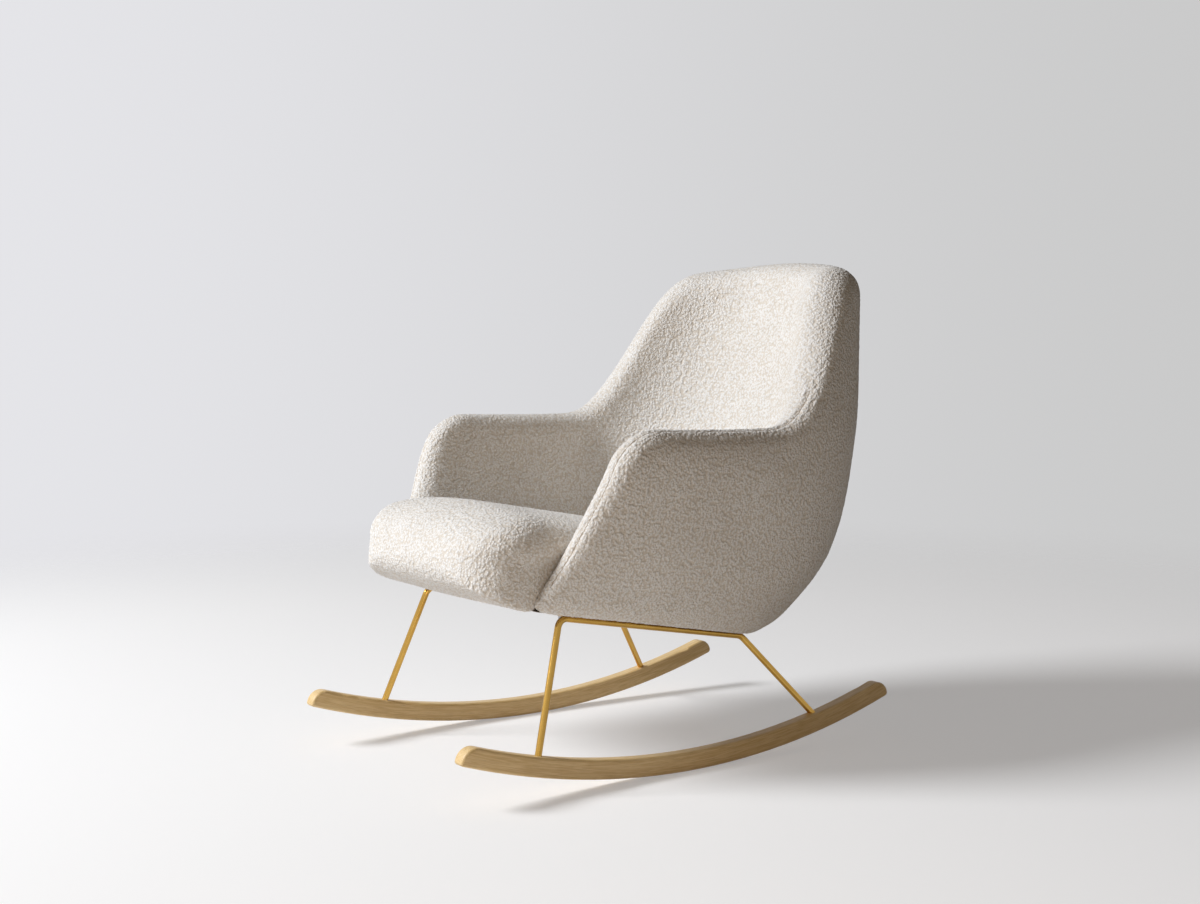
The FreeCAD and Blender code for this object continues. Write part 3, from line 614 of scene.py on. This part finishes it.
class Finish(Wiring):
    # a material and its node tree
    def __init__(self, name, **sockets):
        self.material = bpy.data.materials.new(name)
        self.material.use_nodes = True
        super().__init__(self.material.node_tree)
        self.shader = self.tree.nodes["Principled BSDF"]
        for socket, value in sockets.items():
            self.shader.inputs[socket.replace("_", " ")].default_value = value

    def place(self, scale=(1, 1, 1)):
        coords = self.add("ShaderNodeTexCoord")
        return self.add("ShaderNodeMapping", Vector=coords.outputs["Object"],
                        Scale=scale).outputs["Vector"]

    def noise(self, vector, scale, detail=2.0, rough=0.5):
        return self.add("ShaderNodeTexNoise", Vector=vector, Scale=scale, Detail=detail,
                        Roughness=rough).outputs["Fac"]

    def wave(self, vector, direction, scale, distortion):
        return self.add("ShaderNodeTexWave", {"bands_direction": direction}, Vector=vector, Scale=scale,
                        Distortion=distortion).outputs["Fac"]

    def cells(self, vector, scale):
        return self.add("ShaderNodeTexVoronoi", Vector=vector, Scale=scale).outputs["Distance"]

    def mix(self, blend, factor, first, second):
        node = self.tree.nodes.new("ShaderNodeMix")
        node.data_type, node.blend_type = "RGBA", blend
        self.join(factor, node.inputs[0])
        for value, socket in ((first, node.inputs[6]), (second, node.inputs[7])):
            self.join((*value, 1) if isinstance(value, tuple) else value, socket)
        return node.outputs[2]

    def colour(self, value):
        self.join(value, self.shader.inputs["Base Color"])

    def rough(self, value):
        self.join(value, self.shader.inputs["Roughness"])

    def bump(self, height, strength, distance):
        node = self.add("ShaderNodeBump", Height=height, Strength=strength, Distance=distance)
        self.join(node.outputs["Normal"], self.shader.inputs["Normal"])


boucle = {
    "loop": 4.2, "fine": 2.1, "warpSize": 6.6, "warp": 2.3, "clump": 14.0,     # mm
    "loopRelief": 1.6, "clumpRelief": 0.8, "bump": 1.9,                        # mm
    # tones from the loops' tops into the crevices between them; the darkest is painted shade in the
    # crevices
    "light": (0.87, 0.855, 0.835), "mid": (0.845, 0.82, 0.79), "creviceShade": (0.715, 0.65, 0.57),
}


def loopFabric():
    finish = Finish("loopFabric", Roughness=0.95, Sheen_Weight=0.2, Sheen_Roughness=0.5,
                    Specular_IOR_Level=0.2)
    place = finish.place()
    warped = finish.warped(place, boucle["warpSize"] * mm, (boucle["warp"] * mm,) * 3)
    loops = finish.loops(warped, boucle["loop"] * mm)
    fine = finish.loops(warped, boucle["fine"] * mm)
    depth = finish.math("MULTIPLY_ADD", fine, 0.35, loops)
    # the tone darkens from each loop's middle towards its edge: painted shade in the crevices between the
    # loops, on top of the bump
    tone = finish.ramp(depth, (0.36, boucle["light"]), (0.60, boucle["mid"]), (0.84, boucle["creviceShade"]))
    cloud = finish.ramp(finish.noise(place, 11.0, 3.0), (0.3, (0.95, 0.945, 0.94)), (0.7, (1.0, 1.0, 1.0)))
    finish.colour(finish.mix("MULTIPLY", 1.0, tone, cloud))
    finish.bump(finish.math("SUBTRACT", 1.0, depth), 0.9, boucle["bump"] * mm)
    return finish.material


def seamThread():
    finish = Finish("seamThread", Roughness=0.8, Sheen_Weight=0.2)
    twist = finish.wave(finish.place(), "DIAGONAL", 500.0, 1.0)
    finish.colour(finish.ramp(twist, (0.2, (0.42, 0.335, 0.25)), (0.8, (0.62, 0.53, 0.43))))
    finish.bump(twist, 0.4, 0.0004)
    return finish.material


brass = {"light": (0.67, 0.41, 0.10), "dark": (0.57, 0.33, 0.07), "roughness": (0.12, 0.22)}


def satinBrass():
    finish = Finish("satinBrass", Metallic=1.0)
    place = finish.place()
    cloud = finish.noise(place, 14.0, 4.0, 0.6)
    hair = finish.noise(finish.place((900, 60, 60)), 1.0, 3.0, 0.7)
    finish.colour(finish.ramp(cloud, (0.3, brass["dark"]), (0.65, brass["light"])))
    low, high = brass["roughness"]
    finish.rough(finish.math("ADD", finish.math("MULTIPLY", cloud, high - low),
                             finish.math("MULTIPLY_ADD", hair, 0.06, low)))
    finish.bump(hair, 0.05, 0.0003)
    return finish.material


ash = {
    "bendY": -0.011, "bendZ": 1.405,                    # middle of the rockers' curve, in metres
    "early": (0.80, 0.59, 0.30), "late": (0.66, 0.45, 0.19), "pore": (0.46, 0.29, 0.12),
}


def rockerAsh():
    finish = Finish("rockerAsh", Roughness=0.48, Coat_Weight=0.15, Coat_Roughness=0.35)
    parts = finish.add("ShaderNodeSeparateXYZ", Vector=finish.place())
    x, y, z = (parts.outputs[key] for key in "XYZ")
    along, up = finish.math("SUBTRACT", y, ash["bendY"]), finish.math("SUBTRACT", ash["bendZ"], z)
    radius = finish.hypot(along, up)
    turn = finish.math("MULTIPLY", finish.math("ARCTAN2", along, up), ash["bendZ"])

    def stretched(acrossGrain, alongGrain):
        # coordinates that follow the bend, drawn out along the grain
        return finish.add("ShaderNodeCombineXYZ", X=finish.math("MULTIPLY", x, acrossGrain),
                          Y=finish.math("MULTIPLY", turn, alongGrain),
                          Z=finish.math("MULTIPLY", radius, acrossGrain)).outputs[0]

    rings = finish.noise(stretched(60.0, 2.2), 2.2, 3.0, 0.55)
    bands = finish.math("SINE", finish.math("MULTIPLY", rings, 48.0))
    pores = finish.noise(stretched(1500.0, 45.0), 1.0, 2.0)
    share = finish.math("MULTIPLY_ADD", bands, 0.25, rings)
    wood = finish.ramp(share, (0.2, ash["late"]), (0.75, ash["early"]))
    poreShare = finish.ramp(pores, (0.56, (0.0, 0.0, 0.0)), (0.72, (0.55, 0.55, 0.55)))
    finish.colour(finish.mix("MIX", poreShare, wood, ash["pore"]))
    finish.bump(pores, 0.12, 0.0004)
    return finish.material


def plainWood(name, light, dark, stretch, roughness):
    # straight-grained inner timber; stretch is low along the grain
    finish = Finish(name, Roughness=roughness)
    rings = finish.noise(finish.place(stretch), 1.0, 4.0, 0.6)
    fibre = finish.noise(finish.place(tuple(value * 9 for value in stretch)), 1.0, 2.0)
    bands = finish.math("SINE", finish.math("MULTIPLY", rings, 34.0))
    share = finish.math("MULTIPLY_ADD", bands, 0.2, rings)
    finish.colour(finish.mix("MULTIPLY", 0.5, finish.ramp(share, (0.25, dark), (0.75, light)),
                             finish.ramp(fibre, (0.35, (0.7, 0.7, 0.7)), (0.6, (1.0, 1.0, 1.0)))))
    finish.bump(fibre, 0.15, 0.0004)
    return finish.material


def zincSteel():
    finish = Finish("zincSteel", Metallic=1.0)
    place = finish.place()
    flake = finish.cells(place, 420.0)
    cloud = finish.noise(place, 60.0, 3.0)
    finish.colour(finish.ramp(flake, (0.1, (0.62, 0.63, 0.64)), (0.8, (0.46, 0.47, 0.49))))
    finish.rough(finish.math("MULTIPLY_ADD", cloud, 0.25, 0.25))
    finish.bump(cloud, 0.05, 0.0003)
    return finish.material


def jutelikeWebbing():
    finish = Finish("jutelikeWebbing", Roughness=0.9)
    place = finish.place()
    warp, weft = (finish.wave(place, axis, 210.0, 0.6) for axis in "XY")
    weave = finish.math("MULTIPLY", warp, weft)
    finish.colour(finish.ramp(weave, (0.05, (0.10, 0.085, 0.07)), (0.7, (0.30, 0.255, 0.20))))
    finish.bump(weave, 0.6, 0.0008)
    return finish.material


def dustCloth():
    finish = Finish("dustCloth", Roughness=0.95)
    place = finish.place()
    felt = finish.noise(place, 420.0, 4.0, 0.7)
    dots = finish.cells(place, 380.0)
    finish.colour(finish.ramp(finish.math("MULTIPLY_ADD", dots, 0.4, felt),
                              (0.3, (0.24, 0.20, 0.16)), (0.8, (0.38, 0.325, 0.265))))
    finish.bump(dots, 0.4, 0.0004)
    return finish.material


fabric, thread = loopFabric(), seamThread()
brassFinish, ashFinish, steelFinish = satinBrass(), rockerAsh(), zincSteel()
timber = plainWood("frameTimber", (0.62, 0.45, 0.26), (0.46, 0.30, 0.15), (9, 9, 90), 0.6)
plywood = plainWood("mouldedWood", (0.50, 0.35, 0.20), (0.36, 0.23, 0.12), (80, 80, 12), 0.55)
webbing, dust = jutelikeWebbing(), dustCloth()

nodeFinishes = {
    "rocker": ashFinish, "screw_plugs": ashFinish, "side_frame": brassFinish, "cross_bar": brassFinish,
    "leg_screws": steelFinish, "seat_bolts": steelFinish, "seat_washers": steelFinish,
    "tee_nuts": steelFinish, "frame_screws": steelFinish, "moulded_shell": plywood, "seat_rail": timber,
    "frame_dowels": timber, "corner_blocks": timber, "webbing": webbing, "dust_cover": dust,
    "seat_foam": fabric, "seat_cover": fabric, "back_foam": fabric, "arm_foam": fabric,
    "arm_roll": fabric, "tub_cover": fabric,
}
for name, node in nodes.items():
    finish = next(value for key, value in nodeFinishes.items() if key in name)
    node.data.materials.clear()
    node.data.materials.append(finish)
print("materials on", len(nodes), "nodes")

# Loop relief over the fabric, and the stitches in the seam, by geometry nodes


def newGroup(name, floats):
    group = bpy.data.node_groups.new(name, "GeometryNodeTree")
    group.interface.new_socket("Geometry", in_out="INPUT", socket_type="NodeSocketGeometry")
    for label in floats:
        group.interface.new_socket(label, in_out="INPUT", socket_type="NodeSocketFloat")
    group.interface.new_socket("Finish", in_out="INPUT", socket_type="NodeSocketMaterial")
    group.interface.new_socket("Geometry", in_out="OUTPUT", socket_type="NodeSocketGeometry")
    return group


def endTree(wiring, geometry, finish):
    # the tree's last steps: plain geometry, in its finish
    realize = wiring.add("GeometryNodeRealizeInstances", Geometry=geometry)
    paint = wiring.add("GeometryNodeSetMaterial", Geometry=realize.outputs[0], Material=finish)
    wiring.join(paint.outputs[0], wiring.add("NodeGroupOutput").inputs[0])


def useGroup(piece, group, sizes, finish):
    # sizes in mm, by the names of the tree's inputs
    modifier = piece.modifiers.new(group.name, "NODES")
    modifier.node_group = group
    for item in group.interface.items_tree:
        if item.name in sizes:
            modifier[item.identifier] = sizes[item.name] * mm
        elif item.name == "Finish":
            modifier[item.identifier] = finish


reliefSizes = {
    "Loop Size": boucle["loop"], "Loop Height": boucle["loopRelief"], "Warp Size": boucle["warpSize"],
    "Warp": boucle["warp"], "Clump Size": boucle["clump"], "Clump Height": boucle["clumpRelief"],
}
stitchSizes = {
    "Cord Radius": seam["cordRadius"], "Stitch Pitch": seam["stitchPitch"],
    "Stitch Length": seam["stitchLength"], "Thread Radius": seam["threadRadius"],
}


def reliefGroup():
    group = newGroup("loopRelief", reliefSizes)
    wiring = Wiring(group)
    source = wiring.add("NodeGroupInput").outputs
    place = wiring.add("GeometryNodeInputPosition").outputs[0]
    loops = wiring.loops(wiring.warped(place, source["Warp Size"], source["Warp"]), source["Loop Size"])
    clumps = wiring.add("ShaderNodeTexNoise", Vector=place, Detail=1.0,
                        Scale=wiring.math("DIVIDE", 1.0, source["Clump Size"])).outputs[0]
    lift = wiring.math("MULTIPLY", wiring.math("SUBTRACT", 0.5, loops), source["Loop Height"])
    swell = wiring.math("MULTIPLY", wiring.math("SUBTRACT", clumps, 0.5), source["Clump Height"])
    outward = wiring.add("ShaderNodeVectorMath", {"operation": "SCALE"},
                         Scale=wiring.math("ADD", lift, swell))
    wiring.join(wiring.add("GeometryNodeInputNormal").outputs[0], outward.inputs[0])
    shifted = wiring.add("GeometryNodeSetPosition", Geometry=source["Geometry"], Offset=outward.outputs[0])
    endTree(wiring, shifted.outputs[0], source["Finish"])
    return group


def stitchGroup():
    # a fold line along the path, and a row of short thread lengths standing on it
    group = newGroup("seamStitches", stitchSizes)
    wiring = Wiring(group)
    source = wiring.add("NodeGroupInput").outputs
    path, radius = source["Geometry"], source["Thread Radius"]
    profile = wiring.add("GeometryNodeCurvePrimitiveCircle", Resolution=6, Radius=source["Cord Radius"])
    tube = wiring.add("GeometryNodeCurveToMesh", Curve=path, Profile_Curve=profile.outputs[0],
                      Fill_Caps=True)
    spaced = wiring.add("GeometryNodeCurveToPoints", {"mode": "LENGTH"}, Curve=path,
                        Length=source["Stitch Pitch"]).outputs
    bead = wiring.add("GeometryNodeMeshIcoSphere", Radius=1.0, Subdivisions=2)
    size = wiring.add("ShaderNodeCombineXYZ", X=radius, Y=radius,
                      Z=wiring.math("MULTIPLY", source["Stitch Length"], 0.5))
    row = wiring.add("GeometryNodeInstanceOnPoints", Points=spaced["Points"], Instance=bead.outputs[0],
                     Rotation=spaced["Rotation"], Scale=size.outputs[0])
    both = wiring.add("GeometryNodeJoinGeometry")
    for part in (row, tube):
        wiring.join(part.outputs[0], both.inputs[0])
    endTree(wiring, both.outputs[0], source["Finish"])
    return group


def seamCurve(name, points):
    curve = bpy.data.curves.new(name, "CURVE")
    curve.dimensions = "3D"
    spline = curve.splines.new("POLY")
    spline.points.add(len(points) - 1)
    for spot, place in zip(spline.points, points):
        spot.co = (*place, 1)
    return linked(name, curve)


def asMesh(name, curvePiece):
    # the curve's evaluated tree as a mesh piece of its own
    mesh = evaluatedMesh(curvePiece)
    mesh.name = name
    old = curvePiece.data
    bpy.data.objects.remove(curvePiece)
    bpy.data.curves.remove(old)
    return linked(name, mesh)


relief = reliefGroup()
for piece in (tubCover, seatCushion):
    useGroup(piece, relief, reliefSizes, fabric)
    settle(piece)
    smoothShaded(piece)

stitchTree = stitchGroup()
seamPieces = []
for name, side in (("leftSeam", 1), ("rightSeam", -1)):
    path = seamCurve(name + "Path", laidOn(tubCover, seamPath(side), seam["threadStep"]))
    useGroup(path, stitchTree, stitchSizes, thread)
    seamPieces.append(asMesh(name, path))
    smoothShaded(seamPieces[-1])
    print(name, len(seamPieces[-1].data.polygons), "faces")

# What each piece stands for

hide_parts("tub_cover", "back_foam", "left_arm_foam", "right_arm_foam",
            "left_arm_roll", "right_arm_roll")
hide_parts("seat_cover", "seat_foam")
for piece in [tubCover, seatCushion] + seamPieces:
    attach(piece, "root")

# Floor, light and camera

studio = {
    "floor": (0.90, 0.89, 0.88), "floorSeen": (0.67, 0.66, 0.65), "floorGlow": (0.31, 0.31, 0.315),
    "floorReach": 5, "floorDrop": 0.0004, "fadeStart": 1.5, "fadeEnd": 3.6,
    "wallLeft": (0.79, 0.79, 0.82), "wallRight": (0.585, 0.585, 0.585), "wallAcross": (0.581, 0.814, 0.0),
    "wallSpread": 0.42, "ambient": (1.0, 0.80, 0.58), "ambientStrength": 0.08, "aim": (0, 0, 0.45),
    "keyFrom": (-0.42, -0.90, 0.70), "keyAway": 6.0, "keySize": 2.2, "keyWatts": 425.0,
    "keyColour": (0.93, 0.96, 1.0),
    "fillFrom": (0.80, -0.57, -0.05), "fillAway": 2.0, "fillSize": 0.7, "fillWatts": 3.0,
    "fillColour": (1.0, 0.75, 0.51),
}


def floorFinish():
    # pale, keeps the shadow, and fades into the backdrop further out
    finish = Finish("paleFloor", Roughness=0.9, Specular_IOR_Level=0.1,
                    Emission_Color=(*studio["floorGlow"], 1))
    seen = finish.seenDirectly()
    finish.colour(finish.mix("MIX", seen, studio["floor"], studio["floorSeen"]))
    finish.join(seen, finish.shader.inputs["Emission Strength"])
    parts = finish.add("ShaderNodeSeparateXYZ", Vector=finish.place()).outputs
    away = finish.hypot(parts["X"], parts["Y"])
    fade = finish.add("ShaderNodeMapRange", {"interpolation_type": "SMOOTHSTEP"}, Value=away,
                      From_Min=studio["fadeStart"], From_Max=studio["fadeEnd"])
    gone = finish.add("ShaderNodeBsdfTransparent")
    whole = finish.blend(fade.outputs["Result"], finish.shader.outputs[0], gone.outputs[0])
    finish.join(whole, finish.tree.nodes["Material Output"].inputs["Surface"])
    return finish.material


floorMesh = bpy.data.meshes.new("floor")
reach, drop = studio["floorReach"], studio["floorDrop"]
corners = [(-reach, -reach, -drop), (reach, -reach, -drop), (reach, reach, -drop), (-reach, reach, -drop)]
floorMesh.from_pydata(corners, [], [(0, 1, 2, 3)])
floor = linked("floor", floorMesh)
floorMesh.materials.append(floorFinish())

world = bpy.data.worlds.new("studio")
scene.world = world
world.use_nodes = True
wired = Wiring(world.node_tree)
ambient = wired.tree.nodes["Background"]
ambient.inputs["Color"].default_value = (*studio["ambient"], 1)
ambient.inputs["Strength"].default_value = studio["ambientStrength"]
coords = wired.add("ShaderNodeTexCoord")
acrossWall = wired.add("ShaderNodeVectorMath", {"operation": "DOT_PRODUCT"})
wired.join(coords.outputs["Generated"], acrossWall.inputs[0])
wired.join(studio["wallAcross"], acrossWall.inputs[1])
spread = wired.add("ShaderNodeMapRange", {"interpolation_type": "SMOOTHSTEP"},
                   Value=acrossWall.outputs["Value"], From_Min=-studio["wallSpread"],
                   From_Max=studio["wallSpread"])
wall = wired.ramp(spread.outputs["Result"], (0.0, studio["wallLeft"]), (1.0, studio["wallRight"]))
seenWall = wired.add("ShaderNodeBackground", Color=wall)
backdrop = wired.blend(wired.seenDirectly(), ambient.outputs[0], seenWall.outputs[0])
wired.join(backdrop, wired.tree.nodes["World Output"].inputs["Surface"])


def lamp(name):
    data = bpy.data.lights.new(name, "AREA")
    data.shape, data.size = "DISK", studio[name + "Size"]
    data.energy, data.color = studio[name + "Watts"], studio[name + "Colour"]
    light, direction = linked(name, data), Vector(studio[name + "From"])
    light.location = Vector(studio["aim"]) + direction.normalized() * studio[name + "Away"]
    light.rotation_euler = (-direction).to_track_quat("-Z", "Y").to_euler()
    light.visible_camera = False


for name in ("key", "fill"):
    lamp(name)

shot = {
    "azimuth": 54.45, "elevation": 4.23, "distance": 3.01, "target": (0.0, -0.017, 0.509),
    "lens": 51.8, "sensor": 36.0, "clipEnd": 200.0,
}
turn, rise = math.radians(shot["azimuth"]), math.radians(shot["elevation"])
backward = Vector((math.sin(turn) * math.cos(rise), -math.cos(turn) * math.cos(rise), math.sin(rise)))
cameraData = bpy.data.cameras.new("camera")
cameraData.sensor_fit = "HORIZONTAL"
cameraData.sensor_width, cameraData.lens = shot["sensor"], shot["lens"]
cameraData.clip_end = shot["clipEnd"]
camera = linked("camera", cameraData)
camera.location = Vector(shot["target"]) + backward * shot["distance"]
camera.rotation_euler = (-backward).to_track_quat("-Z", "Y").to_euler()
scene.camera = camera
scene.view_settings.view_transform = "Standard"
